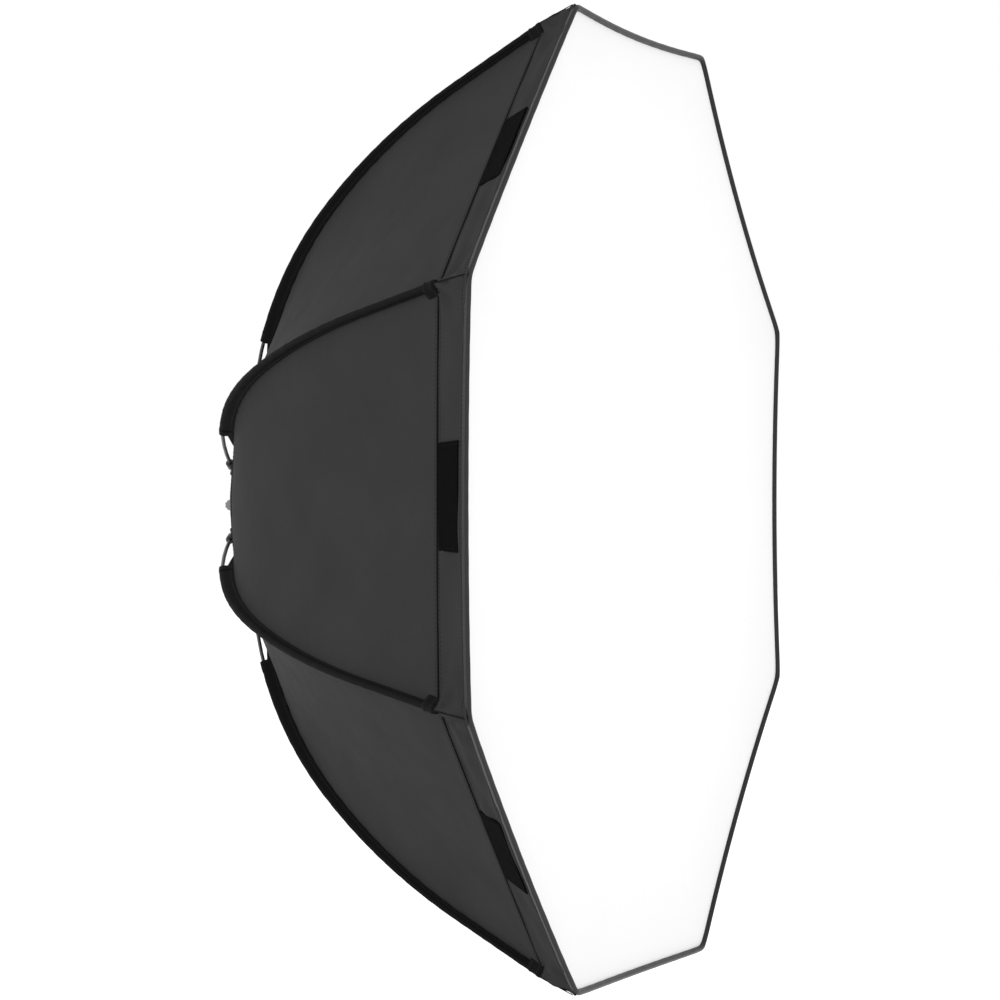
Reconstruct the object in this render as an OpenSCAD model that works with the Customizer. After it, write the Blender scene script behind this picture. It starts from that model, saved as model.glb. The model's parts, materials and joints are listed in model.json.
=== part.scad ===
// Folding octagonal softbox: eight sprung rods hinged on a speed ring carry a
// black cloth shell and a white front diffuser. Millimetres.
// The origin is the centre of the bayonet insert's rear face. The light leaves
// towards -Y, +Z is up.

/* [Softbox] */
// Distance across opposite corners of the front rim
rim_across = 1067; // [1060:1:1075]
// Distance from the insert's rear face to the front rim
softbox_depth = 445; // [443:1:448]
// How much narrower the front lip is in the middle of each side
side_trim = 5; // [3:0.5:6]
// Greatest inward sag of a side panel between its two rods
panel_sag = 14; // [6:1:18]
// Thickness of the cloth solids
cloth_t = 2.4; // [1.6:0.2:2.6]

/* [Rods] */
// Rod diameter
rod_d = 4; // [3.6:0.2:4.4]
// Radius at which a rod starts in its pivot block
rod_start_r = 84; // [84:1:86]
// Lean of the rod towards the front where it leaves the ring, in degrees
rod_start_angle = 10.6; // [10:0.2:11]
// Bend radius of the rear stretch of the rod
rear_bend_r = 474; // [468:1:480]
// Turn of the rear stretch, in degrees
rear_bend_turn = 34.3; // [34:0.1:34.6]
// Bend radius of the front stretch of the rod
front_bend_r = 750; // [740:1:760]
// Turn of the front stretch, in degrees
front_bend_turn = 15.8; // [15.6:0.1:16]
// Length of the straight tip
tip_length = 115; // [113:1:116]

/* [Speed ring] */
// Outer diameter of the ring
ring_d = 152; // [150:1:154]
// Thickness of the two ring halves together
ring_t = 20; // [18:1:22]
// Radius of the circle on which the rods are hinged
hinge_r = 64; // [63:0.5:64.5]
// Diameter of the hinge pins
pin_d = 4; // [3.6:0.2:4.2]
// Diameter of the way through the bayonet insert
insert_bore_d = 88; // [84:1:89]
// Outer diameter of the insert's collar, which turns in the ring
collar_d = 94; // [93:0.5:94]
// Travel of a release button
button_travel = 1.5; // [1:0.1:2]

/* [Hidden] */
$fn = 48;
ribs = 8;
sector = 360 / ribs;
half_sector = sector / 2;
rib_ids = [for (k = [1 : ribs]) k];

rim_r = rim_across / 2;
rod_r = rod_d / 2;
pin_r = pin_d / 2;
ring_r = ring_d / 2;
collar_r = collar_d / 2;
bore_r = insert_bore_d / 2;

// Speed ring, measured forwards from the insert's rear face
ring_rear_z = 2;
hinge_z = 9;
ring_front_z = ring_rear_z + ring_t;
ring_step = 2;
running_gap = 0.05;
flange_r = 56;
collar_front_z = ring_front_z + 4;
groove_z = ring_front_z + 1;
groove_w = 1.5;
groove_depth = 1.2;
slot_w = 12.2;
slot_root_r = 56;
pin_length = 22;

// Pivot block
block_w = 11.6;
barrel_r = 6;
arm_w = 8;
neck_r = 3.2;
neck_length = 15;
collar_bulge_r = 4.5;
collar_length = 9;
socket_gap = 0.2;

// Release buttons and clamp screws, turned from their rod about the ring's axis
button_turn = 13.5;
button_z = 15.5;
button_r = 3.5;
button_rear_r = 63;
button_cap_r = ring_r + 1 + button_travel;
button_chamfer = 1;
pocket_floor_r = 58;
screw_turn = -14;
screw_circle_r = 66;
screw_r = 1.5;
screw_rear_z = 4;
screw_head_r = 2.8;
screw_head_h = 2;

// Lock screw
lock_z = 15;
lock_turn = 2.2;
lock_r = 3;
stud_end_r = 88;
knob_r = 5.5;
knob_end_r = 102;
knob_length = 12;
knob_cone = 4;

// Cloth: how far the seam lies inside the rod's centre line
seam_in_rear = 13;
seam_in_front = 5;
hem_angle = 19.3;
hem_bulge = 3.4;
sleeve_angle = 23.5;
cloth_gap = 0.3;
binding_w = 4.4;
binding_t = 4.4;
seam_trim = 2;
pocket_w = 16;
pocket_h = 6.6;
pocket_length = 16;
patch_from = 0.07;
patch_to = 0.78;
patch_t = 1.6;
patch_gap = 0.2;
diffuser_inset = 12;
diffuser_t = 3;

// The rod's centre line in its own plane, as [radius, height, heading]:
// an arc, a flatter arc and a straight tip, each tangent to the last.
rear_end_angle = rod_start_angle + rear_bend_turn;
front_end_angle = rear_end_angle + front_bend_turn;
rear_centre = [
    rod_start_r - rear_bend_r * sin(rod_start_angle),
    hinge_z + rear_bend_r * cos(rod_start_angle)
];
function on_rear_arc(a) = [
    rear_centre[0] + rear_bend_r * sin(a), rear_centre[1] - rear_bend_r * cos(a), a
];
rear_end = on_rear_arc(rear_end_angle);
front_centre = [
    rear_end[0] - front_bend_r * sin(rear_end_angle),
    rear_end[1] + front_bend_r * cos(rear_end_angle)
];
function on_front_arc(a) = [
    front_centre[0] + front_bend_r * sin(a), front_centre[1] - front_bend_r * cos(a), a
];
front_end = on_front_arc(front_end_angle);
function on_tip(s) = [
    front_end[0] + s * cos(front_end_angle), front_end[1] + s * sin(front_end_angle),
    front_end_angle
];

// Stations along the rod from one angle on the rear arc to the tip
function stations(start_angle, n) = concat(
    [for (i = [0 : n - 1]) on_rear_arc(start_angle + (rear_end_angle - start_angle) * i / n)],
    [for (i = [0 : n - 1]) on_front_arc(rear_end_angle + front_bend_turn * i / n)],
    [for (i = [0 : 2]) on_tip(tip_length * i / 2)]
);

// A station moved inwards, square to the rod
function inset(p, d) = [p[0] - d * sin(p[2]), p[1] + d * cos(p[2]), p[2]];

// How deep the seam lies at a station, from the hem to the tip
function seam_depth(p) = let (f = (p[2] - hem_angle) / (front_end_angle - hem_angle))
    seam_in_rear + (seam_in_front - seam_in_rear) * f;

// How far a panel's middle is drawn in at station i of n, from a slight bulge
// at the hem to nothing at the front seam, and how far it is cut back there
function sag_at(i, n) = let (f = i / (n - 1))
    panel_sag * sin(180 * f) - hem_bulge * pow(1 - f, 3);
function trim_at(i, n) = seam_trim * pow(i / (n - 1), 3);

// A point of the cloth beside a rod: w runs from 0 at the rod to 1 halfway to
// the next rod. The middle is drawn in by sag, square to the cloth, and cut
// back by trim, along the cloth; depth is measured inwards from its outside.
function panel_point(p, w, sag, trim, depth) = let (
        curve = 1 - pow(1 - w, 2),
        out = -curve * (sag * sin(p[2]) + trim * cos(p[2])),
        up = curve * (sag * cos(p[2]) - trim * sin(p[2])),
        turn = half_sector * w,
        in = depth * sin(p[2])
    ) [
        p[0] * (1 - w * pow(sin(half_sector), 2)) + out * cos(half_sector) - in * cos(turn),
        p[0] * w * sin(half_sector) * cos(half_sector) + out * sin(half_sector) - in * sin(turn),
        p[1] + up + depth * cos(p[2])
    ];

// Faces of a thick sheet of n rows and m columns: outer grid first, then inner
function sheet_faces(n, m) = let (s = n * m) concat(
    [for (i = [0 : n - 2], j = [0 : m - 2]) each [
        [i * m + j, i * m + j + 1, (i + 1) * m + j + 1],
        [i * m + j, (i + 1) * m + j + 1, (i + 1) * m + j]]],
    [for (i = [0 : n - 2], j = [0 : m - 2]) each [
        [s + i * m + j, s + (i + 1) * m + j + 1, s + i * m + j + 1],
        [s + i * m + j, s + (i + 1) * m + j, s + (i + 1) * m + j + 1]]],
    [for (i = [0 : n - 2]) each [
        [i * m, (i + 1) * m, s + (i + 1) * m],
        [i * m, s + (i + 1) * m, s + i * m],
        [i * m + m - 1, s + (i + 1) * m + m - 1, (i + 1) * m + m - 1],
        [i * m + m - 1, s + i * m + m - 1, s + (i + 1) * m + m - 1]]],
    [for (j = [0 : m - 2]) each [
        [j, s + j + 1, j + 1],
        [j, s + j, s + j + 1],
        [(n - 1) * m + j, (n - 1) * m + j + 1, s + (n - 1) * m + j + 1],
        [(n - 1) * m + j, s + (n - 1) * m + j + 1, s + (n - 1) * m + j]]]
);

// Places across a rod's cloth, from its seam at the rod to halfway to the next
// rod, with a hair's gap at both ends
seam_w = 0.001;
edge_w = 0.998;
panel_columns = [seam_w, 0.25, 0.5, 0.75, edge_w];
patch_columns = [0.745, 0.87, edge_w];
lip_columns = concat([seam_w, 0.37], patch_columns);

// A thick sheet on both sides of a rod, through stations p, with a sag and a
// trim for each
module cloth(p, sags, trims, cols, outer, inner) {
    n = len(p);
    m = len(cols);
    grid = [for (d = [outer, inner], i = [0 : n - 1], w = cols)
        panel_point(p[i], w, sags[i], trims[i], d)];
    for (side = [0, 1])
        mirror([0, side, 0]) polyhedron(grid, sheet_faces(n, m), 10);
}

// Turns a shape drawn with the front towards +Z into the softbox's own frame
module facing_front() {
    rotate([90, 0, 0]) children();
}

// Places a shape drawn in the XZ plane of a rod at rod k
module at_rod(k) {
    facing_front() rotate([0, 0, half_sector + sector * (k - 1)]) children();
}

// A tube along an arc in the rod's plane, between two headings
module arc_tube(centre, bend_r, from_angle, to_angle, r) {
    translate([centre[0], 0, centre[1]])
        rotate([90, 0, 0])
            rotate([0, 0, from_angle - 90])
                rotate_extrude(angle = to_angle - from_angle, $fn = 96)
                    translate([bend_r, 0]) circle(r, $fn = 24);
}

// ---- speed ring ----

// The part that stays on the light: a flanged collar with three bayonet claws
module bayonet_insert() {
    color("dimgray") facing_front() {
        difference() {
            union() {
                cylinder(h = ring_rear_z - running_gap, r = flange_r);
                cylinder(h = collar_front_z, r = collar_r - running_gap);
            }
            translate([0, 0, -1]) cylinder(h = collar_front_z + 2, r = bore_r);
            translate([0, 0, groove_z])
                difference() {
                    cylinder(h = groove_w, r = collar_r + 1);
                    translate([0, 0, -1]) cylinder(h = groove_w + 2, r = collar_r - groove_depth);
                }
        }
        for (a = [30, 150, 270])
            rotate([0, 0, a])
                rotate_extrude(angle = 32)
                    polygon([[45, -7], [52, -7], [52, -4.5], [48.5, -4.5], [48.5, 0], [45, 0]]);
    }
}

// Snap ring in the collar's groove, which keeps the ring on the insert
module insert_retainer() {
    color("silver") facing_front()
        translate([0, 0, groove_z])
            rotate([0, 0, 6])
                rotate_extrude(angle = 348)
                    translate([collar_r - groove_depth, 0]) square([groove_depth + 3, groove_w]);
}

// Everything cut out of both ring halves
module ring_cuts() {
    for (k = rib_ids)
        rotate([0, 0, half_sector + sector * (k - 1)]) {
            translate([slot_root_r, -slot_w / 2, 0]) cube([40, slot_w, collar_front_z]);
            translate([hinge_r, 0, hinge_z]) rotate([90, 0, 0])
                cylinder(h = pin_length, r = pin_r, center = true);
            rotate([0, 0, button_turn]) translate([pocket_floor_r, 0, button_z])
                rotate([0, 90, 0]) cylinder(h = 40, r = button_r + running_gap);
            rotate([0, 0, screw_turn]) translate([screw_circle_r, 0, screw_rear_z])
                cylinder(h = ring_front_z, r = screw_r);
        }
    rotate([0, 0, lock_turn]) translate([-collar_r - 40, 0, lock_z])
        rotate([0, 90, 0]) cylinder(h = 45, r = lock_r);
}

// Rear half of the ring, with half of each hinge pin's seat
module ring_base() {
    color("dimgray") facing_front()
        difference() {
            translate([0, 0, ring_rear_z])
                cylinder(h = hinge_z - ring_rear_z, r1 = ring_r - 1, r2 = ring_r);
            translate([0, 0, -1]) cylinder(h = collar_front_z, r = collar_r);
            ring_cuts();
        }
}

// Front half of the ring, which clamps the hinge pins
module ring_clamp() {
    color("dimgray") facing_front()
        difference() {
            union() {
                translate([0, 0, hinge_z])
                    cylinder(h = ring_front_z - ring_step - hinge_z, r = ring_r);
                translate([0, 0, hinge_z])
                    cylinder(h = ring_front_z - hinge_z, r = ring_r - ring_step);
            }
            translate([0, 0, -1]) cylinder(h = collar_front_z, r = collar_r);
            ring_cuts();
        }
}

// The eight hinge pins
module hinge_pins() {
    color("silver")
        for (k = rib_ids)
            at_rod(k) translate([hinge_r, 0, hinge_z]) rotate([90, 0, 0])
                cylinder(h = pin_length, r = pin_r, center = true);
}

// The eight screws that hold the ring halves together
module clamp_screws() {
    color("silver")
        for (k = rib_ids)
            at_rod(k) rotate([0, 0, screw_turn]) translate([screw_circle_r, 0, screw_rear_z])
                difference() {
                    union() {
                        cylinder(h = ring_front_z - screw_rear_z, r = screw_r);
                        translate([0, 0, ring_front_z - screw_rear_z])
                            cylinder(h = screw_head_h, r = screw_head_r);
                    }
                    translate([0, 0, ring_front_z - screw_rear_z + 1])
                        cylinder(h = screw_head_h, r = screw_head_r / 2, $fn = 6);
                }
}

// The eight springs behind the release buttons
module button_springs() {
    color("silver")
        for (k = rib_ids)
            at_rod(k) rotate([0, 0, button_turn]) translate([pocket_floor_r, 0, button_z])
                rotate([0, 90, 0])
                    difference() {
                        cylinder(h = button_rear_r - pocket_floor_r, r = 2.6);
                        translate([0, 0, -1]) cylinder(h = 10, r = 1.8);
                    }
}

// Thumb screw that locks the ring on the insert: steel stud and plastic knob
module lock_stud() {
    color("silver") facing_front()
        rotate([0, 0, lock_turn]) translate([-stud_end_r, 0, lock_z]) rotate([0, 90, 0])
            cylinder(h = stud_end_r - collar_r - 0.3, r = lock_r - running_gap);
}

module lock_knob() {
    color("gray") facing_front()
        rotate([0, 0, lock_turn]) translate([-knob_end_r, 0, lock_z]) rotate([0, 90, 0])
            difference() {
                union() {
                    cylinder(h = knob_length, r = knob_r);
                    translate([0, 0, knob_length]) cylinder(h = knob_cone, r1 = knob_r, r2 = 4);
                }
                translate([0, 0, knob_end_r - stud_end_r])
                    cylinder(h = knob_cone, r = lock_r - running_gap);
                for (a = [0 : 45 : 315])
                    rotate([0, 0, a]) translate([knob_r + 1, 0, -1])
                        cylinder(h = knob_length, r = 1.6);
            }
}

// Release button k, a sprung plunger in the ring's edge beside rod k
module release_button(k) {
    color("dimgray") at_rod(k) rotate([0, 0, button_turn])
        translate([button_rear_r, 0, button_z]) rotate([0, 90, 0]) {
            cylinder(h = button_cap_r - button_rear_r - button_chamfer, r = button_r);
            translate([0, 0, button_cap_r - button_rear_r - button_chamfer])
                cylinder(h = button_chamfer, r1 = button_r, r2 = button_r - button_chamfer);
        }
}

// ---- one rod with its cloth ----

// Pivot block k: barrel on the hinge pin, arm, and the socket of the rod
module pivot_block(k) {
    socket_end = rod_start_angle + 4;
    color("dimgray") at_rod(k)
        difference() {
            union() {
                translate([hinge_r, 0, hinge_z]) rotate([90, 0, 0])
                    cylinder(h = block_w, r = barrel_r, center = true);
                translate([hinge_r, -arm_w / 2, hinge_z - 4]) cube([22, arm_w, 8]);
                translate([rod_start_r, 0, hinge_z])
                    rotate([0, 90 - rod_start_angle, 0]) cylinder(h = neck_length, r = neck_r);
                translate([rod_start_r, 0, hinge_z])
                    rotate([0, 90 - rod_start_angle - 1, 0])
                        translate([0, 0, neck_length - 0.5])
                            cylinder(h = collar_length, r = collar_bulge_r);
            }
            translate([hinge_r, 0, hinge_z]) rotate([90, 0, 0])
                cylinder(h = block_w + 2, r = pin_r + running_gap, center = true);
            arc_tube(rear_centre, rear_bend_r, rod_start_angle, socket_end, rod_r + socket_gap);
        }
}

// Faces of a closed tube of n rings with m points each, drawn along a rod
function tube_faces(n, m) = concat(
    [for (i = [0 : n - 2], j = [0 : m - 1]) let (j2 = (j + 1) % m) each [
        [i * m + j, (i + 1) * m + j2, i * m + j2],
        [i * m + j, (i + 1) * m + j, (i + 1) * m + j2]]],
    [[for (j = [0 : m - 1]) j], [for (j = [m - 1 : -1 : 0]) (n - 1) * m + j]]
);

// A solid through stations p, with a cross-section of [across, inwards] pairs
// for each, which all have as many points
module along_rod(p, sections) {
    m = len(sections[0]);
    pts = [for (i = [0 : len(p) - 1], q = sections[i])
        let (c = inset(p[i], q[1])) [c[0], q[0], c[1]]];
    polyhedron(pts, tube_faces(len(p), m), 10);
}

// Rod k, a bent sprung rod from its pivot block to the rim pocket
module rib_rod(k) {
    p = stations(rod_start_angle, 12);
    ring = [for (j = [0 : 11]) rod_r * [sin(30 * j), -cos(30 * j)]];
    color("dimgray") at_rod(k) along_rod(p, [for (q = p) ring]);
}

// Cross-section of the webbing sleeve at a station: full round the rod, thin
// at the seam, as [across, inwards] pairs
function sleeve_section(depth) = [
    [-1.6, -3.1], [1.6, -3.1], [3.1, -1.4], [3.1, 1.6], [1.5, depth - cloth_gap],
    [-1.5, depth - cloth_gap], [-3.1, 1.6], [-3.1, -1.4]
];

// Webbing sleeve k, in which the rod lies outside the seam, and its tip pocket
module rib_sleeve(k) {
    p = stations(sleeve_angle, 5);
    color("black") at_rod(k) {
        along_rod(p, [for (q = p) sleeve_section(seam_depth(q))]);
        translate([front_end[0], 0, front_end[1]])
            rotate([0, 90 - front_end_angle, 0])
                translate([-pocket_h / 2, -pocket_w / 2, tip_length + rod_r - pocket_length])
                    cube([pocket_h, pocket_w, pocket_length]);
    }
}

// Cloth of rod k, from the rear hem to the front seam, reaching halfway to
// the rods on both sides
module side_panel(k) {
    p = stations(hem_angle, 4);
    n = len(p);
    seam = [for (q = p) inset(q, seam_depth(q))];
    sags = [for (i = [0 : n - 1]) sag_at(i, n)];
    trims = [for (i = [0 : n - 1]) trim_at(i, n)];
    color("darkslategray") at_rod(k) cloth(seam, sags, trims, panel_columns, 0, cloth_t);
}

// Front lip of rod k: a strip from the front seam to the rim, the bound edge
// of the rim, and half of the fastener strip on either side
module front_lip(k) {
    tip = inset(on_tip(tip_length), seam_in_front);
    rise = softbox_depth - tip[1];
    lean = atan2(rise, rim_r - tip[0]);
    run = norm([rim_r - tip[0], rise]);
    function on_lip(s) = [tip[0] + s * cos(lean), tip[1] + s * sin(lean), lean];
    function trim(s) = seam_trim + (side_trim - seam_trim) * s / run;
    edge_from = run - binding_t;
    module along_lip(places, cols, outer, inner) {
        cloth([for (s = places) on_lip(s)], [for (s = places) 0], [for (s = places) trim(s)],
            cols, outer, inner);
    }
    color("darkslategray") at_rod(k) {
        along_lip([cloth_gap, edge_from / 2, edge_from - cloth_gap], lip_columns, 0, cloth_t);
        along_lip([edge_from, run], lip_columns, 0, binding_w);
    }
    color("black") at_rod(k)
        along_lip([run * patch_from, run * patch_to], patch_columns,
            -patch_gap - patch_t, -patch_gap);
}

// ---- front ----

// White front diffuser, stretched across the rim a little behind its corners
module front_diffuser() {
    diffuser_r = rim_r - diffuser_inset;
    color("white") facing_front()
        translate([0, 0, softbox_depth - diffuser_t - side_trim])
            linear_extrude(diffuser_t)
                polygon([for (k = rib_ids, c = [[1, 0], [1, 0.5], [1, 1], [-1, 0.5]])
                    let (
                        q = panel_point([diffuser_r, 0, 0], c[1], 0, side_trim / 2, 0),
                        a = half_sector + sector * (k - 1) + (c[0] < 0 ? sector : 0),
                        y = c[0] * q[1]
                    ) [q[0] * cos(a) - y * sin(a), q[0] * sin(a) + y * cos(a)]]);
}

bayonet_insert();
insert_retainer();
ring_base();
ring_clamp();
hinge_pins();
clamp_screws();
button_springs();
lock_stud();
lock_knob();
front_diffuser();
for (k = rib_ids) {
    release_button(k);
    pivot_block(k);
    rib_rod(k);
    rib_sleeve(k);
    side_panel(k);
    front_lip(k);
}
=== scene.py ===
"""Folding octagonal softbox: a white diffuser and a black cloth shell on eight sprung rods,
hinged on a speed ring that turns on a bayonet insert. Metres. The light leaves towards -Y
and +Z is up."""

import json

import bpy
import numpy as np
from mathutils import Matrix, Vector


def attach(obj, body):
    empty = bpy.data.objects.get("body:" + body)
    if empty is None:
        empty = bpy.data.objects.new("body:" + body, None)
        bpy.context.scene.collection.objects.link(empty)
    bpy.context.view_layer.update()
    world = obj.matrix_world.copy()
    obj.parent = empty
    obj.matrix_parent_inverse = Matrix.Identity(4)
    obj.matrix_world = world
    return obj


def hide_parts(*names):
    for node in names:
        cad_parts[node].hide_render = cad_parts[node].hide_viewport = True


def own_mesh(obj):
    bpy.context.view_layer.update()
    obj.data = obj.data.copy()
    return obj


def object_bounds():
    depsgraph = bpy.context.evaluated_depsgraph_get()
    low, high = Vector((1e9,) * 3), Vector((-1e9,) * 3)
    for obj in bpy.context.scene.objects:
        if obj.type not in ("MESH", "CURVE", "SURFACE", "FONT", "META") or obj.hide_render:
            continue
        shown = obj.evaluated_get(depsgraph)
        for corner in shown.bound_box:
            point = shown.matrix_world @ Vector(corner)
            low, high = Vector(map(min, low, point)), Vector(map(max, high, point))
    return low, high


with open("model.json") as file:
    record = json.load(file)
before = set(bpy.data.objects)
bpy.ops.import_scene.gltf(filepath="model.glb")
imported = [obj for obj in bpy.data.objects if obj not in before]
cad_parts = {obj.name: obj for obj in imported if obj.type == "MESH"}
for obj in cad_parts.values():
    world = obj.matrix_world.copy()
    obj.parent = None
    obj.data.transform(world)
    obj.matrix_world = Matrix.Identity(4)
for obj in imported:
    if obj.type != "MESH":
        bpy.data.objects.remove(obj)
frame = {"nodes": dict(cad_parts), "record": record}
cad_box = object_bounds()

# ---------------------------------------------------------------- camera
# A long lens a little below the softbox's axis, looking across its front edge
# at the side panels, from about four metres.
CAMERA_AZIMUTH = -68.673
CAMERA_ELEVATION = -0.525
CAMERA_DISTANCE = 3.626
CAMERA_TARGET = Vector((-0.0546, -0.3050, 0.0009))

azimuth, elevation = np.radians([CAMERA_AZIMUTH, CAMERA_ELEVATION])
towards_camera = Vector((
    np.sin(azimuth) * np.cos(elevation),
    -np.cos(azimuth) * np.cos(elevation),
    np.sin(elevation),
))
lens = bpy.data.cameras.new("camera")
lens.lens = 124.81
lens.sensor_width = 36
lens.clip_end = 100
camera = bpy.data.objects.new("camera", lens)
bpy.context.scene.collection.objects.link(camera)
camera.location = CAMERA_TARGET + CAMERA_DISTANCE * towards_camera
camera.rotation_mode = "QUATERNION"
camera.rotation_quaternion = (-towards_camera).to_track_quat("-Z", "Y")
bpy.context.scene.camera = camera

# ---------------------------------------------------------------- studio
# A white room: a wide pale floor, an even white surround, and three large soft
# lights, beside the camera, in front of the diffuser and behind the shell.
FLOOR_DROP = 0.26
FLOOR_RADIUS = 40
FLOOR_SIDES = 96
LIGHTS_AIM = Vector((0, -0.25, 0))


def put_in_scene(name, mesh):
    """A mesh as an object at the origin."""
    made = bpy.data.objects.new(name, mesh)
    bpy.context.scene.collection.objects.link(made)
    return made


def soft_light(name, azimuth, elevation, distance, size, power):
    """A square light that faces the softbox from one direction: distance times the unit
    vector at that azimuth and elevation, turned to look back along it."""
    a, e = np.radians([azimuth, elevation])
    away = Vector((np.sin(a) * np.cos(e), -np.cos(a) * np.cos(e), np.sin(e)))
    light = bpy.data.lights.new(name, "AREA")
    light.size = size
    light.energy = power
    lamp = bpy.data.objects.new(name, light)
    bpy.context.scene.collection.objects.link(lamp)
    lamp.location = LIGHTS_AIM + distance * away
    lamp.rotation_mode = "QUATERNION"
    lamp.rotation_quaternion = (-away).to_track_quat("-Z", "Y")


floor_height = cad_box[0][2] - FLOOR_DROP
angle = np.linspace(0, 2 * np.pi, FLOOR_SIDES + 1)[:-1]
floor_mesh = bpy.data.meshes.new("floor")
floor_mesh.from_pydata(
    np.stack([
        FLOOR_RADIUS * np.cos(angle), FLOOR_RADIUS * np.sin(angle), 0 * angle + floor_height,
    ], 1).tolist(), [], [list(range(len(angle)))],
)
floor = put_in_scene("floor", floor_mesh)
floor_finish = bpy.data.materials.new("floor_white")
floor_finish.use_nodes = True
floor_shader = floor_finish.node_tree.nodes["Principled BSDF"]
floor_shader.inputs["Base Color"].default_value = (0.60, 0.60, 0.60, 1)
floor_shader.inputs["Roughness"].default_value = 0.9
floor_shader.inputs["Emission Color"].default_value = (1, 1, 1, 1)
floor_shader.inputs["Emission Strength"].default_value = 0.55
floor_mesh.materials.append(floor_finish)

world = bpy.data.worlds.new("studio")
world.use_nodes = True
bpy.context.scene.world = world
surround = world.node_tree.nodes["Background"]
surround.inputs["Color"].default_value = (1, 1, 1, 1)
surround.inputs["Strength"].default_value = 1.0

soft_light("key_light", -75, 20, 4.2, 2.6, 38)
soft_light("front_light", -8, 8, 4.4, 2.4, 20)
soft_light("rear_light", -140, 10, 4.0, 2.2, 42)
bpy.context.scene.view_settings.view_transform = "Standard"

# ---------------------------------------------------------------- bayonet insert
# The part that stays on the flash head: turned aluminium with three claws,
# satin anodised, and a plated snap ring that keeps the speed ring on it.


class Wire:
    """A number that varies over a surface. Python's operators on it add Math nodes."""

    def __init__(self, finish, output):
        self.finish = finish
        self.output = output

    def math(self, operation, first, second=0.0):
        return self.finish.node("ShaderNodeMath", {"operation": operation}, {0: first, 1: second})

    def __add__(self, other):
        return self.math("ADD", self, other)

    def __mul__(self, other):
        return self.math("MULTIPLY", self, other)

    def sine(self):
        return self.math("SINE", self)

    def above(self, limit):
        return self.math("GREATER_THAN", self, limit)


class Finish:
    """A material with one Principled shader. Constants go on its own sockets, and what
    varies over the surface is wired into them."""

    def __init__(self, name, constants):
        self.material = bpy.data.materials.new(name)
        self.material.use_nodes = True
        self.tree = self.material.node_tree
        self.shader = self.tree.nodes["Principled BSDF"]
        for socket, value in constants.items():
            self.set(socket, value)

    def set(self, socket, value):
        """Sets or wires a socket of the shader."""
        self.fill(self.shader.inputs[socket], value)

    def fill(self, socket, value):
        """Sets a socket to a constant, or links it."""
        if isinstance(value, Wire):
            self.tree.links.new(value.output, socket)
        elif isinstance(value, tuple) and len(value) == 3 and socket.type == "RGBA":
            socket.default_value = (*value, 1)
        else:
            socket.default_value = value

    def node(self, kind, settings, inputs, output=0):
        """Adds a node of that kind: its settings first, then its sockets' values or links."""
        made = self.tree.nodes.new(kind)
        for name, value in settings.items():
            setattr(made, name, value)
        for socket, value in inputs.items():
            self.fill(made.inputs[socket], value)
        return Wire(self, made.outputs[output])

    def place(self, axis=None):
        """Object coordinates in metres, or one of their axes."""
        where = self.node("ShaderNodeTexCoord", {}, {}, "Object")
        return where if axis is None else self.node("ShaderNodeSeparateXYZ", {}, {0: where}, axis)

    def along(self, axis=None):
        """The piece's own UV map in metres of cloth, or one of its axes."""
        where = self.node("ShaderNodeUVMap", {"uv_map": "cut"}, {})
        return where if axis is None else self.node("ShaderNodeSeparateXYZ", {}, {0: where}, axis)

    def noise(self, scale, detail=2.0):
        """Smooth noise from 0 to 1, with scale features in a metre."""
        return self.node("ShaderNodeTexNoise", {}, {
            "Vector": self.place(), "Scale": scale, "Detail": detail,
        })

    def blend(self, share, first, second):
        """The colour first where share is 0, second where it is 1."""
        return self.node(
            "ShaderNodeMix", {"data_type": "RGBA"}, {0: share, 6: first, 7: second}, 2
        )

    def bump(self, height, depth):
        """Wires a height from 0 to 1 into the normal, depth metres deep."""
        self.set("Normal", self.node("ShaderNodeBump", {}, {
            "Height": height, "Distance": depth, "Strength": 1.0,
        }))


def dress(finish, *nodes):
    """Gives CAD nodes a finish."""
    for node in nodes:
        frame["nodes"][node].data.materials.clear()
        frame["nodes"][node].data.materials.append(finish.material)


def axis_distance(finish):
    """Distance from the softbox's axis: the length of the X and Z of a place."""
    flat = finish.node("ShaderNodeVectorMath", {"operation": "MULTIPLY"}, {
        0: finish.place(), 1: (1, 0, 1),
    })
    return finish.node("ShaderNodeVectorMath", {"operation": "LENGTH"}, {0: flat}, "Value")


anodised = Finish("anodised_insert", {"Metallic": 0.85})
turning = (axis_distance(anodised) * 9000).sine()
anodised.set("Base Color", anodised.blend(
    anodised.noise(60), (0.24, 0.24, 0.245), (0.33, 0.33, 0.335)
))
anodised.set("Roughness", anodised.noise(220) * 0.14 + 0.34)
anodised.bump(turning * 0.3 + anodised.noise(2600) * 0.4, 0.00003)
dress(anodised, "bayonet_insert")

plated = Finish("plated_steel", {"Metallic": 1.0})
plated.set("Base Color", plated.blend(
    plated.noise(90, 3), (0.50, 0.50, 0.51), (0.62, 0.62, 0.63)
))
plated.set("Roughness", plated.noise(400, 4) * 0.2 + 0.22)
plated.bump(plated.noise(1500, 3), 0.00003)
dress(plated, "insert_retainer", "hinge_pins", "clamp_screws", "button_springs", "lock_stud")

# ---------------------------------------------------------------- speed ring
# Two die-cast aluminium halves under a matt black powder coat, clamped over the
# eight hinge pins. The coat has a fine orange-peel grain and is thin at scuffs.
powder = Finish("powder_coat", {"Metallic": 0.0})
grain = powder.noise(1700, 3)
scuff = powder.noise(140, 5).above(0.66)
powder.set("Base Color", powder.blend(
    scuff * 0.35 + powder.noise(30) * 0.3, (0.030, 0.030, 0.032), (0.10, 0.10, 0.105)
))
powder.set("Roughness", grain * 0.2 + 0.42)
powder.bump(grain, 0.00009)
dress(powder, "ring_base", "ring_clamp")

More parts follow.
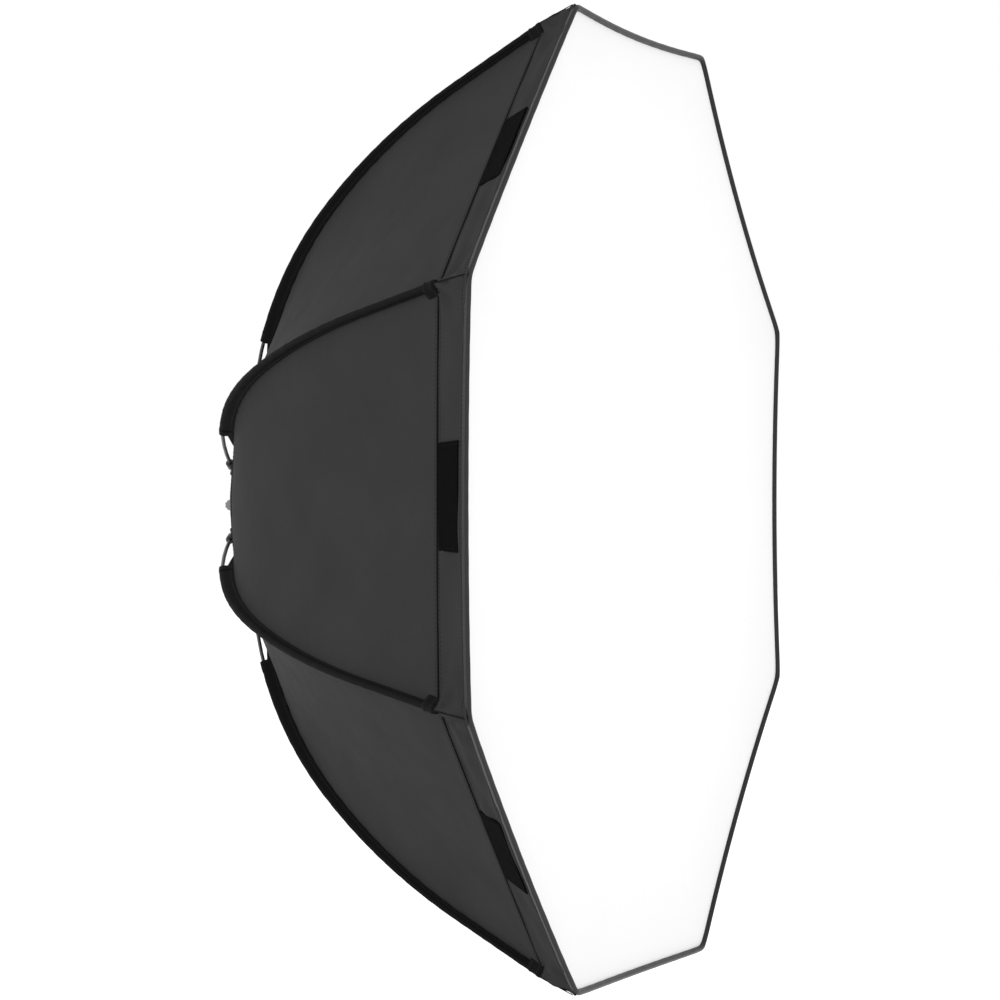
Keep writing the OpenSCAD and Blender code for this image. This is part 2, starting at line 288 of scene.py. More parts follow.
# ---------------------------------------------------------------- buttons and lock screw
# Moulded plastic: black release buttons in the ring's edge, and the grey knob
# of the thumb screw that locks the ring on the insert.


def moulded(name, colour, lighter):
    """Moulded plastic: an even colour with a fine spark-eroded grain."""
    plastic = Finish(name, {"Specular IOR Level": 0.45})
    texture = plastic.noise(2200, 2)
    plastic.set("Base Color", plastic.blend(plastic.noise(70), colour, lighter))
    plastic.set("Roughness", texture * 0.15 + 0.38)
    plastic.bump(texture, 0.00005)
    return plastic


dress(moulded("button_plastic", (0.016, 0.016, 0.017), (0.026, 0.026, 0.028)),
      *[f"release_button_{k}" for k in range(1, 9)])
dress(moulded("knob_plastic", (0.13, 0.13, 0.135), (0.18, 0.18, 0.185)), "lock_knob")

# ---------------------------------------------------------------- rods and pivot blocks
# Sprung steel rods with a black coat, each bent to the shell's curve and held
# in a moulded block that swings on its hinge pin.
RODS = range(1, 9)
coated = Finish("rod_coat", {"Specular IOR Level": 0.6})
coated.set("Base Color", coated.blend(
    coated.noise(300, 4).above(0.68), (0.012, 0.012, 0.013), (0.03, 0.03, 0.032)
))
coated.set("Roughness", coated.noise(500, 3) * 0.2 + 0.25)
coated.bump(coated.noise(1800, 2), 0.00003)
dress(coated, *[f"rib_rod_{k}" for k in RODS])
dress(moulded("block_plastic", (0.012, 0.012, 0.013), (0.022, 0.022, 0.023)),
      *[f"pivot_block_{k}" for k in RODS])

# ---------------------------------------------------------------- side panels
# Eight panels of black coated nylon with a silver lining, sewn to each other
# along the rods and drawn in between them. Each is made here as two halves,
# one with each rod, in short bands.
START_RADIUS, START_HEIGHT = 0.084, 0.009
START_HEADING = np.radians(10.6)
REAR_BEND, REAR_TURN = 0.474, np.radians(34.3)
FRONT_BEND, FRONT_TURN = 0.750, np.radians(15.8)
TIP_LENGTH = 0.115
HEM_HEADING = np.radians(19.3)
SEAM_DEPTH_REAR, SEAM_DEPTH_FRONT = 0.013, 0.005
PANEL_SAG, HEM_BULGE = 0.014, 0.0052
CORNER_LIFT, LIFT_WIDTH, LIFT_LENGTH = 0.0078, 0.026, 0.0045
SEAM_TRIM = 0.002
CLOTH = 0.0006
CREASED_LENGTH = 0.52
REAR_WIDTH, WIDENING = 0.11, 0.28
PUCKER_PITCH = 0.021
SHARP_ANGLE = np.radians(50)
BANDS = 10
ROWS_IN_BAND = 12
COLUMNS = 45
HALF = np.pi / 8

tip_heading = START_HEADING + REAR_TURN + FRONT_TURN
rear_run = REAR_BEND * REAR_TURN
front_run = FRONT_BEND * FRONT_TURN
tip_run = rear_run + front_run + TIP_LENGTH
hem_run = REAR_BEND * (HEM_HEADING - START_HEADING)


def rod_line(run):
    """Radius, height in front of the insert, and heading of a rod's centre line at a
    distance along it: an arc, a flatter arc and a straight tip, each tangent to the last."""
    first = START_HEADING + np.clip(run, 0, rear_run) / REAR_BEND
    second = START_HEADING + REAR_TURN + np.clip(run - rear_run, 0, front_run) / FRONT_BEND
    bend = START_HEADING + REAR_TURN
    straight = np.clip(run - rear_run - front_run, 0, None)
    radius = (
        START_RADIUS + REAR_BEND * (np.sin(first) - np.sin(START_HEADING))
        + FRONT_BEND * (np.sin(second) - np.sin(bend)) + straight * np.cos(tip_heading)
    )
    height = (
        START_HEIGHT + REAR_BEND * (np.cos(START_HEADING) - np.cos(first))
        + FRONT_BEND * (np.cos(bend) - np.cos(second)) + straight * np.sin(tip_heading)
    )
    return radius, height, np.where(run < rear_run, first, second)


def inward(radius, height, heading, depth):
    """A point moved towards the inside of the shell, square to the rod."""
    return radius - depth * np.sin(heading), height + depth * np.cos(heading)


def seam_depth(heading):
    """How far the seam lies inside the rod's centre line, evenly from hem to tip."""
    share = (heading - HEM_HEADING) / (tip_heading - HEM_HEADING)
    return SEAM_DEPTH_REAR + (SEAM_DEPTH_FRONT - SEAM_DEPTH_REAR) * share


def rod_angle(k):
    """Angle of rod k about the softbox's axis."""
    return HALF * (2 * k - 1)


def at_rod(k, outward, across, height):
    """Points given in rod k's own plane, out from the axis and across the rod, in the
    softbox's frame."""
    c, s = np.cos(rod_angle(k)), np.sin(rod_angle(k))
    return np.stack([outward * c - across * s, -height, outward * s + across * c], -1)


def towards_middle(w):
    """Rises from 0 at a rod to 1 halfway to the next, where it is level: 1 - (1 - w)^2."""
    return 1 - (1 - w) ** 2


def cloth_point(k, side, radius, height, heading, w, drawn_in, trimmed):
    """A point of the cloth beside rod k: on the straight line from one seam to the next,
    w running from 0 at this rod to 1 halfway, drawn in square to the panel and trimmed
    back along it."""
    moved = -drawn_in * np.sin(heading) - trimmed * np.cos(heading)
    outward = radius * (1 - w * np.sin(HALF) ** 2) + moved * np.cos(HALF)
    across = radius * w * np.sin(HALF) * np.cos(HALF) + moved * np.sin(HALF)
    lifted = drawn_in * np.cos(heading) - trimmed * np.sin(heading)
    return at_rod(k, outward, side * across, height + lifted)


def corner_lift(w, along, widened=0):
    """How far the cloth is raised over the end of a rod, to the top of its tip pocket: a
    bell in w, widened in front of the tip, times a fading with the distance from it."""
    return CORNER_LIFT * np.exp(-(w / (LIFT_WIDTH * (1 + widened))) ** 2) * along


def creases(panel, along, across, length, width, depth, spread, count):
    """Shallow folds that fan out of a seam's end and die away: depth times a fading
    exponential of the distance times a sine of the direction."""
    distance = np.hypot(along * length, across * width)
    direction = np.arctan2(across * width, along * length + 1e-6)
    fade = np.exp(-distance / spread) * np.clip(distance / 0.012, 0, 1)
    return depth * fade * np.sin(count * direction + 1.7 * panel)


def panel_relief(panel, s, q):
    """Small relief of a panel, inwards, in metres. s runs from the hem to the front seam
    and q from one rod's seam to the next: slow waves, puckers along the seams, and folds
    that fan out of the two front corners."""
    random = np.random.default_rng(40 + panel)
    phase = random.uniform(0, 2 * np.pi, 6)
    inside = np.clip(4 * q * (1 - q), 0, 1) * np.clip(s / 0.05, 0, 1)
    width = REAR_WIDTH + WIDENING * s
    slow = 0.0007 * np.sin(5.1 * s + 3.3 * q + phase[0]) * np.sin(2.9 * q - 2.2 * s + phase[1])
    slow = slow + 0.00035 * np.sin(13 * s - 6 * q + phase[2]) * np.sin(9 * q + 4 * s + phase[3])
    edge = np.minimum(q, 1 - q) * width
    pucker = 0.0005 * np.exp(-edge / 0.010) * np.clip(edge / 0.003, 0, 1)
    pucker = pucker * np.sin(2 * np.pi * s * CREASED_LENGTH / PUCKER_PITCH + phase[4])
    extent = (CREASED_LENGTH, width)
    corners = creases(panel, 1 - s, q, *extent, 0.0016, 0.055, 9.0)
    corners = corners + creases(panel + 3, 1 - s, 1 - q, *extent, 0.0016, 0.055, 9.0)
    rear = creases(panel + 1, s, q, *extent, 0.0011, 0.040, 7.0)
    rear = rear + creases(panel + 2, s, 1 - q, *extent, 0.0011, 0.040, 7.0)
    front = np.clip((1 - s) / 0.03, 0, 1)
    return inside * (slow * front + rear) + front * (pucker + corners * inside ** 0.25)


def surface_normals(grid):
    """Unit normals of a grid of points, from the differences along its two directions."""
    normal = np.cross(np.gradient(grid, axis=0), np.gradient(grid, axis=1))
    return normal / np.linalg.norm(normal, axis=-1, keepdims=True)


def run_lengths(grid, axis):
    """Distances along a grid's lines, from its first row or column."""
    step = np.linalg.norm(np.diff(grid, axis=axis), axis=-1)
    return np.concatenate([np.zeros_like(np.take(step, [0], axis)), np.cumsum(step, axis)], axis)


def skin(rows, columns, closed=False):
    """Quads over a grid of points: their corners' rows and columns, and point numbers."""
    i, j = np.meshgrid(np.arange(rows - 1), np.arange(columns - (not closed)), indexing="ij")
    row = np.stack([i, i, i + 1, i + 1], -1).reshape(-1, 4)
    column = np.stack([j, j + 1, j + 1, j], -1).reshape(-1, 4)
    return row, column, row * columns + column % columns


def thick_sheet(outer, normals, cut, thickness, outside, lining):
    """A sheet as one closed thin solid: the outer grid, the same grid moved inwards by its
    thickness, and a strip round the edge."""
    rows, columns = outer.shape[:2]
    size = rows * columns
    points = np.concatenate([outer.reshape(-1, 3), (outer - thickness * normals).reshape(-1, 3)])
    _, _, face = skin(rows, columns)
    number = np.arange(size).reshape(rows, columns)
    border = np.concatenate([
        number[0, :-1], number[:-1, -1], number[-1, :0:-1], number[:0:-1, 0],
    ])
    onward = np.roll(border, -1)
    rim = np.stack([onward, border, border + size, onward + size], -1)
    place = cut.reshape(-1, 2)
    faces = np.concatenate([face, face[:, ::-1] + size, rim])
    corner_cut = place[faces % size]
    finish = np.repeat([outside, lining, outside], [len(face), len(face), len(rim)])
    return points, [(faces, corner_cut, finish)]


def outside_out(part):
    """The same closed part with its faces outwards: they are turned round if the volume
    that they enclose, a sum of tetrahedra to the part's middle, comes out negative."""
    points, groups = part
    volume = 0.0
    for face, _, _ in groups:
        corner = points[face] - points.mean(0)
        for i in range(1, face.shape[1] - 1):
            volume += np.einsum(
                "ij,ij->", corner[:, 0], np.cross(corner[:, i], corner[:, i + 1])
            )
    if volume >= 0:
        return part
    return points, [(face[:, ::-1], cut[:, ::-1], finish) for face, cut, finish in groups]


def make_piece(name, parts, finishes, body):
    """One object from closed parts, riding on a body. Each part is its points and groups of
    faces with their place in the cut cloth and their finish."""
    parts = [outside_out(part) for part in parts]
    starts = np.cumsum([0] + [len(points) for points, _ in parts])
    groups = [
        (face + start, cut, finish)
        for (_, part_groups), start in zip(parts, starts) for face, cut, finish in part_groups
    ]
    sides = np.concatenate([np.full(len(face), face.shape[1]) for face, _, _ in groups])
    firsts = np.concatenate([[0], np.cumsum(sides)[:-1]]).astype("i")
    indices = np.concatenate([index for _, _, index in groups]).astype("i")
    mesh = bpy.data.meshes.new(name)
    mesh.vertices.add(int(starts[-1]))
    mesh.vertices.foreach_set("co", np.concatenate([p for p, _ in parts]).astype("f").ravel())
    mesh.loops.add(int(sides.sum()))
    corner_points = np.concatenate([face.ravel() for face, _, _ in groups]).astype("i")
    mesh.loops.foreach_set("vertex_index", corner_points)
    mesh.polygons.add(len(sides))
    mesh.polygons.foreach_set("loop_start", firsts)
    mesh.polygons.foreach_set("material_index", indices)
    mesh.polygons.foreach_set("use_smooth", np.ones(len(sides), bool))
    mesh.uv_layers.new(name="cut").data.foreach_set(
        "uv", np.concatenate([cut.reshape(-1, 2) for _, cut, _ in groups]).astype("f").ravel()
    )
    for finish in finishes:
        mesh.materials.append(finish.material)
    mesh.update(calc_edges=True)
    mesh.validate()
    mesh.set_sharp_from_angle(angle=SHARP_ANGLE)
    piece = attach(put_in_scene(name, mesh), body)
    return piece


record_joints = {joint["name"]: joint for joint in frame["record"]["behaviour"]["joints"]}
fold = record_joints["rib_1_fold"]
FOLD_TURN = np.radians(fold["range_deg"][1])
hinge_radius = np.hypot(fold["pos_m"][0], fold["pos_m"][2])
hinge_height = -fold["pos_m"][1]


def gathered_share(outward, height):
    """How much of its width the cloth keeps when its rod is folded, at a point halfway to
    the next rod: its distance out from the axis after the turn, over that before it."""
    out = outward - hinge_radius
    turned = hinge_radius + out * np.cos(FOLD_TURN) - (height - hinge_height) * np.sin(FOLD_TURN)
    return turned / outward


def gather(piece, k, keep):
    """Gives the piece a mesh of its own."""
    a = rod_angle(k)
    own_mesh(piece)


nylon = Finish("shell_nylon", {"Specular IOR Level": 0.02})
warp, weft = nylon.along(0), nylon.along(1)
THREAD_PITCH = 0.0009
thread_turn = 2 * np.pi / THREAD_PITCH
weave = (warp * thread_turn).sine() * (weft * thread_turn).sine()
slub = nylon.noise(900, 2)
nylon.set("Base Color", nylon.blend(
    nylon.noise(14, 4) * 0.5 + slub * 0.35 + weave * 0.12,
    (0.0190, 0.0190, 0.0195), (0.0360, 0.0360, 0.0368),
))
nylon.set("Roughness", nylon.noise(40, 3) * 0.12 + 0.60)
nylon.bump(weave * 0.3 + slub * 0.5, 0.00007)

silver = Finish("silver_lining", {"Metallic": 0.75})
crinkle = silver.noise(130, 5)
silver.set("Base Color", silver.blend(crinkle, (0.55, 0.55, 0.56), (0.72, 0.72, 0.73)))
silver.set("Roughness", silver.noise(300, 3) * 0.2 + 0.36)
silver.bump(crinkle, 0.0004)

thread = Finish("black_thread", {"Specular IOR Level": 0.1})
twist = (thread.along(0) * 9000 + thread.along(1) * 9000).sine()
thread.set("Base Color", thread.blend(
    twist * 0.5 + 0.5, (0.006, 0.006, 0.006), (0.016, 0.016, 0.017)
))
thread.set("Roughness", thread.noise(900) * 0.1 + 0.6)


def stitches(line, up, spacing=0.0042, length=0.0031, width=0.0008):
    """A row of stitches along a line of points: evenly spaced beads with pointed ends,
    each two points and two rings of four, half sunk in the cloth."""
    step = np.linalg.norm(np.diff(line, axis=0), axis=-1)
    run = np.append(0, np.cumsum(step))
    places = np.arange(spacing / 2, run[-1], spacing)

    def at(values, where):
        """Values along the line, straight from one of its points to the next."""
        return np.stack([np.interp(where, run, values[:, axis]) for axis in range(3)], -1)

    along = at(line, places + 0.0005) - at(line, places - 0.0005)
    along = along / np.linalg.norm(along, axis=-1, keepdims=True)
    high = at(up, places)
    wide = np.cross(along, high)
    ring = [(0, 1), (1, 0), (0, -1), (-1, 0)]
    bead = np.array(
        [(-1, 0, 0)] + [(-0.6, b, c) for b, c in ring] + [(0.6, b, c) for b, c in ring]
        + [(1, 0, 0)]
    ) * (length / 2, width / 2, width / 2)
    points = at(line, places)[:, None] + sum(
        bead[None, :, axis, None] * direction[:, None]
        for axis, direction in enumerate((along, wide, high))
    )
    j = np.arange(4)
    after = (j + 1) % 4
    first = len(bead) * np.arange(len(places))[:, None, None]
    three = np.concatenate([
        np.stack([0 * j, 1 + j, 1 + after], -1), np.stack([9 + 0 * j, 5 + after, 5 + j], -1),
    ])
    four = np.stack([1 + j, 5 + j, 5 + after, 1 + after], -1)
    groups = []
    for face in (three, four):
        face = (face[None] + first).reshape(-1, face.shape[1])
        cut = np.stack([face % len(bead), face // len(bead)], -1) * spacing
        groups.append((face, cut, np.full(len(face), THREAD)))
    return points.reshape(-1, 3), groups


def half_panel(k, side):
    """Half of the panel beside rod k: its points and their place in the cut cloth, from
    the hem to the front seam and from the rod's seam to halfway to the next. The middle
    is drawn in by a sine along the rod, and stands out by a bulge at the hem that dies
    away with the cube of the distance."""
    run = np.linspace(hem_run, tip_run, BANDS * ROWS_IN_BAND + 1)[:, None]
    w = np.linspace(0, 1, COLUMNS)[None, :]
    radius, height, heading = rod_line(run)
    radius, height = inward(radius, height, heading, seam_depth(heading))
    s = (run - hem_run) / (tip_run - hem_run)
    q = w / 2 if side > 0 else 1 - w / 2
    panel = k if side > 0 else (k - 2) % 8 + 1
    drawn_in = (PANEL_SAG * np.sin(np.pi * s) - HEM_BULGE * (1 - s) ** 3) * towards_middle(w)
    drawn_in = drawn_in + panel_relief(panel, s, q)
    drawn_in = drawn_in - corner_lift(w, np.exp(-((tip_run - run) / LIFT_LENGTH) ** 2))
    trimmed = SEAM_TRIM * s ** 3 * towards_middle(w)
    grid = cloth_point(k, side, radius, height, heading, w, drawn_in, trimmed)
    cut = np.stack([side * run_lengths(grid, 1), 0 * w + run], -1)
    return grid, side * -surface_normals(grid), cut


OUTSIDE, LINING, THREAD = range(3)
HEM_ROWS = 3
HEM_RAISE, HEM_THICK = 0.0008, 0.0012
for k in RODS:
    halves = [half_panel(k, side) for side in (-1, 1)]
    for band in range(BANDS):
        rows = slice(band * ROWS_IN_BAND, (band + 1) * ROWS_IN_BAND + 1)
        parts = [
            thick_sheet(grid[rows], normals[rows], cut[rows], CLOTH, OUTSIDE, LINING)
            for grid, normals, cut in halves
        ]
        if band == 0:
            for grid, normals, cut in halves:
                hem = slice(0, HEM_ROWS + 1)
                raised = grid[hem] + HEM_RAISE * normals[hem]
                parts.append(
                    thick_sheet(raised, normals[hem], cut[hem], HEM_THICK, OUTSIDE, OUTSIDE)
                )
                for share in (0.2, 0.8):
                    line = raised[0] + share * (raised[-1] - raised[0])
                    parts.append(stitches(line, normals[0]))
        if band == BANDS - 1:
            for grid, normals, cut in halves:
                parts.append(stitches(grid[-2], normals[-2]))
        piece = make_piece(
            f"side_panel_{k}_{band + 1}", parts, [nylon, silver, thread],
            f"rib_{k}",
        )
        edge = halves[0][0][rows, -1]
        out = edge @ at_rod(k, 1, 0, 0)
        gather(piece, k, float(gathered_share(out, -edge[:, 1]).mean()))
        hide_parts(f"side_panel_{k}")
        width = float(halves[1][2][rows, -1, 0].mean() - halves[0][2][rows, -1, 0].mean())

# ---------------------------------------------------------------- rod sleeves
# Black webbing folded over each rod and sewn into the seam between two panels,
# with a double cuff at the rear, a strip that tapers on along the seam to the
# hem, and a sewn pocket that holds the rod's tip.
SLEEVE_HEADING = np.radians(23.5)
BULGE, TAIL = 0.0036, 0.0026
CUFF_LENGTH, CUFF_STEP = 0.012, 0.00035
MOUTH_DEPTH, MOUTH_STEP = 0.0015, 0.0008
POCKET_LENGTH, POCKET_FORWARD = 0.0175, 0.0022
POCKET_OUTER = np.array([
    (0.0083, 0.0083), (0.00825, 0.0075), (0.0074, 0.0056), (0.0058, 0.0018),
    (0.0047, -0.0012), (0.0035, -0.0029), (0.0014, -0.0034),
])
POCKET_INNER = np.array([(0.0076, 0.00845), (0.0040, 0.00695)])
POCKET_MIDDLE = 0.0053
POCKET_ROWS = (0.0030, 0.0125)


def carried(centres, side, up, profile, finish):
    """A closed profile carried along a path, with flat ends: at each place the centre,
    plus the profile's two numbers times that place's side and up directions."""
    points = centres[:, None] + profile[..., :1] * side[:, None] + profile[..., 1:] * up[:, None]
    rows, columns = points.shape[:2]
    row, column, face = skin(rows, columns, closed=True)
    along = run_lengths(points[:, :1], 0)[:, 0]
    around = np.append(0, np.cumsum(np.linalg.norm(
        np.roll(points[rows // 2], -1, 0) - points[rows // 2], axis=-1,
    )))
    ends = np.array([np.arange(columns)[::-1], np.arange(columns) + (rows - 1) * columns])
    end_cut = np.stack([profile[0, ::-1], profile[-1]])
    return points.reshape(-1, 3), [
        (face, np.stack([along[row], around[column]], -1), np.full(len(face), finish)),
        (ends, end_cut, np.full(2, finish)),
    ]


def rod_frame(k, run):
    """Centres along rod k, with the directions across it and inwards."""
    radius, height, heading = rod_line(run)
    across = np.tile(at_rod(k, 0, 1, 0), (len(run), 1))
    return at_rod(k, radius, 0 * radius, height), across, at_rod(
        k, -np.sin(heading), 0 * heading, np.cos(heading)
    )


def sleeve_profile(depth, bulge, tail):
    """Sections of a sleeve, across the rod and inwards: half a circle outside the rod, and
    from there a smooth narrowing to a seam's thickness at the sleeve's depth."""
    turn = np.linspace(0.12, 1, 16)[None, :]
    inwards = -bulge + (depth + bulge) * (1 - np.cos(np.pi * turn)) / 2
    round_part = np.sqrt(np.clip(bulge ** 2 - inwards ** 2, 0, None))
    share = np.clip(inwards / (0.72 * depth), 0, 1)
    half = np.where(inwards < 0, round_part, bulge + (tail - bulge) * share ** 2 * (3 - 2 * share))
    return np.concatenate([
        np.stack([half, inwards], -1), np.stack([-half, inwards], -1)[:, ::-1],
    ], 1)


def box_profile(half_width, half_height, corners=28):
    """A rectangle with round corners: both numbers times the square root of the cosine and
    of the sine of the angle, with their signs."""
    turn = np.linspace(0, 2 * np.pi, corners + 1)[None, :-1]
    c, s = np.cos(turn), np.sin(turn)
    across = half_width * np.sign(c) * np.abs(c) ** 0.5
    upwards = half_height * np.sign(s) * np.abs(s) ** 0.5
    return np.stack(np.broadcast_arrays(across, upwards), -1)


def pocket_profile(rise):
    """Sections of a tip pocket, which lies over the rod and down on the cloth on both
    sides: its height over the slope of the cloth is scaled by rise."""
    half = np.concatenate([POCKET_INNER[::-1], POCKET_OUTER])
    across = np.concatenate([[0], half[:, 0], -half[::-1, 0]])[None, :]
    inwards = np.concatenate([[POCKET_MIDDLE], half[:, 1], half[::-1, 1]])[None, :]
    slope = SEAM_DEPTH_FRONT + np.tan(HALF) * np.abs(across)
    return np.stack(np.broadcast_arrays(across, slope + (inwards - slope) * rise), -1)


webbing = Finish("black_webbing", {"Specular IOR Level": 0.06})
rib_across, rib_along = webbing.along(0), webbing.along(1)
RIB_PITCH, PICK_PITCH = 0.0016, 0.0012
ribbing = (rib_across * (2 * np.pi / RIB_PITCH)).sine()
ribbing = ribbing * (rib_along * (2 * np.pi / PICK_PITCH)).sine()
fluff = webbing.noise(1500, 3)
webbing.set("Base Color", webbing.blend(
    ribbing * 0.25 + fluff * 0.6, (0.0025, 0.0025, 0.0026), (0.0080, 0.0080, 0.0084)
))
webbing.set("Roughness", webbing.noise(60, 3) * 0.12 + 0.68)
webbing.bump(ribbing * 0.4 + fluff * 0.4, 0.00018)

sleeve_run = REAR_BEND * (SLEEVE_HEADING - START_HEADING)
pocket_run = tip_run + POCKET_FORWARD - POCKET_LENGTH
for k in RODS:
    run = np.concatenate([
        [0.006, 0, 0], np.linspace(0.0005, CUFF_LENGTH, 5), [CUFF_LENGTH + 0.0004],
        np.linspace(CUFF_LENGTH + 0.004, tip_run - sleeve_run, 110),
    ])[:, None]
    centres, across, inwards = rod_frame(k, sleeve_run + run[:, 0])
    _, _, heading = rod_line(sleeve_run + run)
    mouth = np.zeros_like(run)
    mouth[:2] = 1
    cuff = CUFF_STEP * (run <= CUFF_LENGTH)
    pucker = 0.00016 * np.sin(2 * np.pi * run / 0.019 + k) * np.sin(2 * np.pi * run / 0.083)
    profile = sleeve_profile(
        seam_depth(heading) - MOUTH_DEPTH * mouth,
        BULGE + cuff + pucker - MOUTH_STEP * mouth,
        TAIL + cuff - MOUTH_STEP * mouth,
    )
    parts = [carried(centres, across, inwards, profile, 0)]
    strip_run = np.linspace(hem_run, sleeve_run + 0.004, 14)
    centres, across, inwards = rod_frame(k, strip_run)
    _, _, heading = rod_line(strip_run)
    strip_height = np.linspace(0.0022, 0.0085, 14)[:, None]
    strip = box_profile(0.0012, strip_height / 2, 16)
    strip[..., 1] += seam_depth(heading)[:, None] - strip_height / 2
    parts.append(carried(centres, across, inwards, strip, 0))
    place = np.array([0, 0.0006, 0.002, 0.008, 0.0145, 0.0155, 0.0165, 0.0171, POCKET_LENGTH])
    centres, across, inwards = rod_frame(k, pocket_run + place)
    rise = np.array([0.93, 0.98, 1, 0.97, 1, 0.96, 0.82, 0.62, 0.38])[:, None]
    parts.append(carried(centres, across, inwards, pocket_profile(rise), 0))
    line_run = np.linspace(sleeve_run + CUFF_LENGTH + 0.003, tip_run - 0.018, 90)
    centres, across, inwards = rod_frame(k, line_run)
    _, _, heading = rod_line(line_run)
    row_depth = (seam_depth(heading) - 0.0022)[:, None]
    for side in (-1, 1):
        row = centres + row_depth * inwards + side * (TAIL + 0.0001) * across
        parts.append(stitches(row, side * across))
    over = np.concatenate([POCKET_OUTER[1:], POCKET_OUTER[:0:-1] * (-1, 1)])
    for place in POCKET_ROWS:
        centre, across, inwards = rod_frame(k, pocket_run + np.array([place]))
        row = centre + over[:, :1] * across + over[:, 1:] * inwards
        square = np.cross(np.gradient(row, axis=0), np.cross(across, inwards))
        square = square / np.linalg.norm(square, axis=-1, keepdims=True)
        parts.append(stitches(row, square, 0.0013, 0.0024, 0.0009))
    sleeve = make_piece(
        f"rod_sleeve_{k}", parts, [webbing, webbing, thread], f"rib_{k}",
    )
    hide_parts(f"rib_sleeve_{k}")

# ---------------------------------------------------------------- front lip
# A strip of the same nylon in front of the panels, sewn to them with a welt,
# pieced at the corners, and bound at the rim with a rolled webbing edge.
RIM_RADIUS = 1.067 / 2
RIM_HEIGHT = 0.445
SIDE_TRIM = 0.005
RIM_HANG = 0.0032
CORNER_ROUND = 0.040
EDGE_RADIUS = 0.0026
LIP_SIDE = 0.40

tip_radius, tip_height, _ = rod_line(tip_run)
tip_radius, tip_height = inward(tip_radius, tip_height, tip_heading, SEAM_DEPTH_FRONT)
lean = np.arctan2(RIM_HEIGHT - tip_height, RIM_RADIUS - tip_radius)
lip_run = float(np.hypot(RIM_RADIUS - tip_radius, RIM_HEIGHT - tip_height))


def lip_point(k, w, s, depth=0.0, rounding=0.0):
    """A point of the lip of rod k. w runs from -1 to 1 between the middles of its two
    sides, s is the distance from the front seam and depth is measured inwards. The corner
    is rounded by a hyperbola, each side is trimmed back towards its middle, and the upper
    and lower sides hang a little there."""
    radius, height = inward(
        tip_radius + s * np.cos(lean), tip_height + s * np.sin(lean), lean,
        depth - corner_lift(w, 1 - s / lip_run, 1.6 * s / lip_run),
    )
    bent = np.hypot(w, rounding)
    trimmed = (SEAM_TRIM + (SIDE_TRIM - SEAM_TRIM) * s / lip_run) * towards_middle(np.abs(w))
    moved = -trimmed * np.cos(lean)
    outward = radius * (1 - bent * np.sin(HALF) ** 2) + moved * np.cos(HALF)
    across = radius * w * np.sin(HALF) * np.cos(HALF) + np.sign(w) * moved * np.sin(HALF)
    point = at_rod(k, outward, across, height - trimmed * np.sin(lean))
    side_angle = rod_angle(k) + np.sign(w) * HALF
    hang = RIM_HANG * towards_middle(np.abs(w)) * np.abs(np.sin(side_angle)) * s / lip_run
    return point - hang[..., None] * np.array([0, 0, 1])


def lip_relief(panel, s, q):
    """Small relief of the lip, inwards, in metres. q runs from one corner to the next:
    folds that fan out of the corners, a few long shallow waves, and slack folds that run
    along the strip. It fades out at the welt and at the bound edge."""
    random = np.random.default_rng(90 + panel)
    phase = random.uniform(0, 2 * np.pi, 5)
    share = s / lip_run
    inside = np.clip(4 * share * (1 - share), 0, 1) ** 0.6
    folds = sum(
        creases(panel + turn, share, end, lip_run, LIP_SIDE, 0.0028, 0.050, 8.0)
        + creases(panel + turn + 2, 1 - share, end, lip_run, LIP_SIDE, 0.0020, 0.035, 6.0)
        for turn, end in ((0, q), (5, 1 - q))
    )
    waves = 0.0007 * np.sin(2 * np.pi * (2.3 * q + 0.4 * share) + phase[0])
    waves = waves + 0.0007 * np.sin(2 * np.pi * (1.6 * share + 1.1 * q) + phase[1])
    waves = waves + 0.0005 * np.sin(2 * np.pi * (5.2 * q - 1.3 * share) + phase[2])
    tuck = np.exp(-((share - 0.76 - 0.05 * np.sin(9 * q + phase[3])) / 0.13) ** 2)
    tuck = tuck + 0.6 * np.exp(-((share - 0.55 - 0.08 * np.sin(7 * q + phase[4])) / 0.10) ** 2)
    slack = np.clip(np.abs(2 * q - 1) * 1.5 - 0.35, 0, 1)
    return inside * (folds + waves + 0.0013 * slack * tuck)


def along_lip(k, w, s, depth, profile, finish, rounding):
    """A profile carried along the lip's edge from the middle of one side to the middle of
    the next: across the lip's width and square to the cloth."""
    centres = lip_point(k, w, s, depth, rounding)
    towards_rim = lip_point(k, w, s + 0.001, depth, rounding) - centres
    towards_rim = towards_rim / np.linalg.norm(towards_rim, axis=-1, keepdims=True)
    along = np.gradient(centres, axis=0)
    along = along / np.linalg.norm(along, axis=-1, keepdims=True)
    outwards = np.cross(towards_rim, along)
    return carried(centres, towards_rim, outwards, profile, finish)


binding = Finish("rim_binding", {"Specular IOR Level": 0.25})
rolled = binding.noise(260, 4)
binding.set("Base Color", binding.blend(rolled, (0.006, 0.006, 0.0064), (0.014, 0.014, 0.0147)))
binding.set("Roughness", rolled * 0.14 + 0.36)
binding.bump(binding.noise(900, 3), 0.00012)

